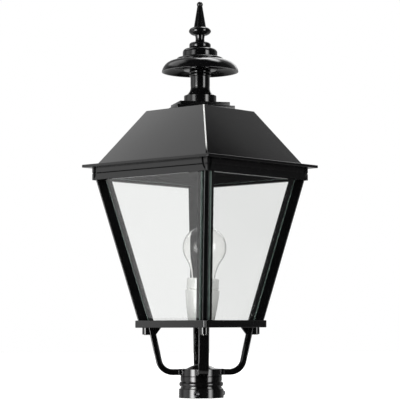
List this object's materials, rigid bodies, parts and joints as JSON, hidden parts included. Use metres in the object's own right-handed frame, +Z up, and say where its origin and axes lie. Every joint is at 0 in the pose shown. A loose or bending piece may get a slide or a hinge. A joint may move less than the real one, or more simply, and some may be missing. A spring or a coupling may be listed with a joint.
{
  "type": "post top lantern",
  "caption": "Tapered square post lantern with clear panes, hollow pyramid roof, chimney with dome cap and spire, bracket arms, post sleeve and a bulb in a porcelain holder.",
  "frame": {"origin": "centre of the post sleeve's foot", "axes": "+Z up along the post; X and Y square to the glass faces, so the corner bars and bracket arms stand on the diagonals; -Y is the front face"},
  "size_m": [0.2414, 0.2414, 0.5717],
  "materials": {
    "black_enamel": "gloss",
    "pane_glass": "clear, green at the edges",
    "bulb_envelope": "clear",
    "porcelain": "glazed",
    "holder_brass": "satin",
    "zinc_steel": "zinc plated",
    "screw_steel": "blackened",
    "bulb_nickel": "satin",
    "bulb_solder": "satin",
    "bulb_vitrite": "gloss",
    "bulb_wire": "dull",
    "bush_rubber": "matte"
  },
  "bodies": {
    "lantern_body": {"post_sleeve": "black_enamel", "arm_hub": "black_enamel", "cable_grommet": "bush_rubber", "arm_front_right": "black_enamel", "arm_rear_right": "black_enamel", "arm_rear_left": "black_enamel", "arm_front_left": "black_enamel", "arm_bolts": "zinc_steel", "bar_screws": "zinc_steel", "base_frame": "black_enamel", "base_plate": "black_enamel", "base_plate_screws": "zinc_steel", "bar_front_right": "black_enamel", "bar_rear_right": "black_enamel", "bar_rear_left": "black_enamel", "bar_front_left": "black_enamel", "glass_front": "pane_glass", "glass_right": "pane_glass", "glass_rear": "pane_glass", "glass_left": "pane_glass", "top_frame": "black_enamel", "holder_nipple": "zinc_steel", "holder_nut": "zinc_steel", "holder_washer": "zinc_steel", "holder_body": "porcelain", "holder_collar": "porcelain", "holder_shell": "holder_brass", "holder_contact": "holder_brass"},
    "hood": {"hood_skirt": "black_enamel", "eave_flange": "black_enamel", "roof_front": "black_enamel", "roof_right": "black_enamel", "roof_rear": "black_enamel", "roof_left": "black_enamel", "roof_top_plate": "black_enamel", "chimney_lower_plate": "black_enamel", "chimney_upper_plate": "black_enamel", "chimney_column": "black_enamel", "chimney_collar": "black_enamel", "dome_cap": "black_enamel", "cap_ring_lower": "black_enamel", "cap_ring_upper": "black_enamel", "tie_rod": "zinc_steel", "tie_washer": "zinc_steel", "tie_nut": "zinc_steel"},
    "finial": {"finial": "black_enamel"},
    "bulb": {"bulb_glass": "bulb_envelope", "bulb_cap": "bulb_nickel", "bulb_insulator": "bulb_vitrite", "bulb_tip": "bulb_solder", "bulb_stem": "bulb_envelope", "bulb_filament": "bulb_wire"},
    "set_screw_1": {"set_screw_1": "screw_steel"},
    "set_screw_2": {"set_screw_2": "screw_steel"},
    "set_screw_3": {"set_screw_3": "screw_steel"}
  },
  "joints": [
    {"name": "hood_lift", "type": "slide", "parent": "lantern_body", "child": "hood", "axis": [0, 0, 1], "range_m": [0, 0.08]},
    {"name": "finial_unscrew", "type": "slide", "parent": "hood", "child": "finial", "axis": [0, 0, 1], "range_m": [0, 0.018]},
    {"name": "bulb_unscrew", "type": "slide", "parent": "lantern_body", "child": "bulb", "axis": [0.0345, 0.0345, 0.9988], "range_m": [0, 0.027]},
    {"name": "set_screw_1_drive", "type": "slide", "parent": "lantern_body", "child": "set_screw_1", "axis": [-0.5, -0.866, 0], "range_m": [0, 0.003]},
    {"name": "set_screw_2_drive", "type": "slide", "parent": "lantern_body", "child": "set_screw_2", "axis": [1, 0, 0], "range_m": [0, 0.003]},
    {"name": "set_screw_3_drive", "type": "slide", "parent": "lantern_body", "child": "set_screw_3", "axis": [-0.5, 0.866, 0], "range_m": [0, 0.003]}
  ]
}
